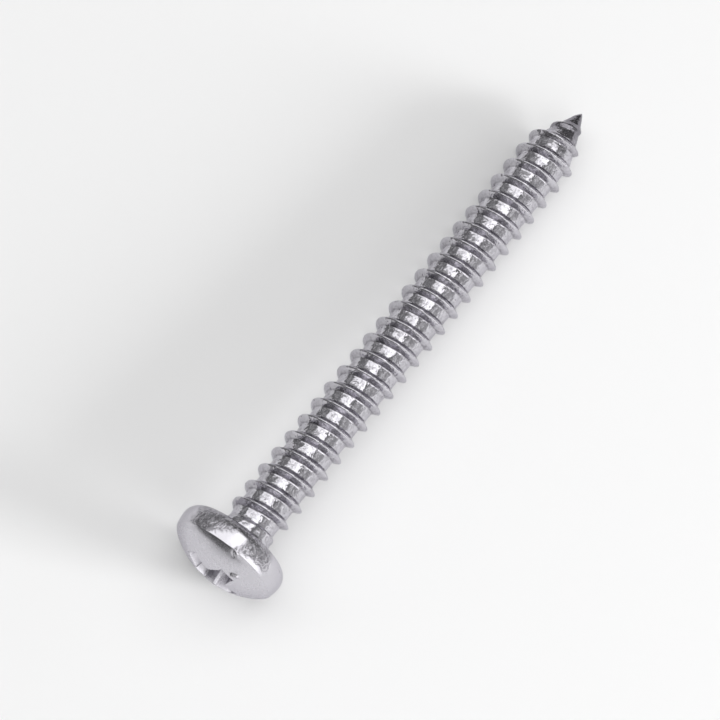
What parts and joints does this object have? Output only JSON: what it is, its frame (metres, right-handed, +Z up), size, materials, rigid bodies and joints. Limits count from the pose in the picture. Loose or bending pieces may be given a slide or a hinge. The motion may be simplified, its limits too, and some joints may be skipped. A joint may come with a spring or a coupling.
{
  "type": "sheet metal screw",
  "caption": "Pan head sheet metal screw with a cross recess in a domed crown, a full-length tapping thread and a sharp gimlet point, lying on its side.",
  "frame": {"origin": "centre of the bounding box, on the floor under the lying screw", "axes": "+X from the head towards the point, level; +Z up; the screw's own axis dips towards the point by about 3.1 degrees"},
  "size_m": [0.0402, 0.0078, 0.0077],
  "materials": {
    "steel": "bright plain steel, smooth and shiny, with fine rolling marks in the thread grooves and a dull burr beside the recess"
  },
  "bodies": {
    "root": {"screw": "steel"}
  },
  "joints": []
}
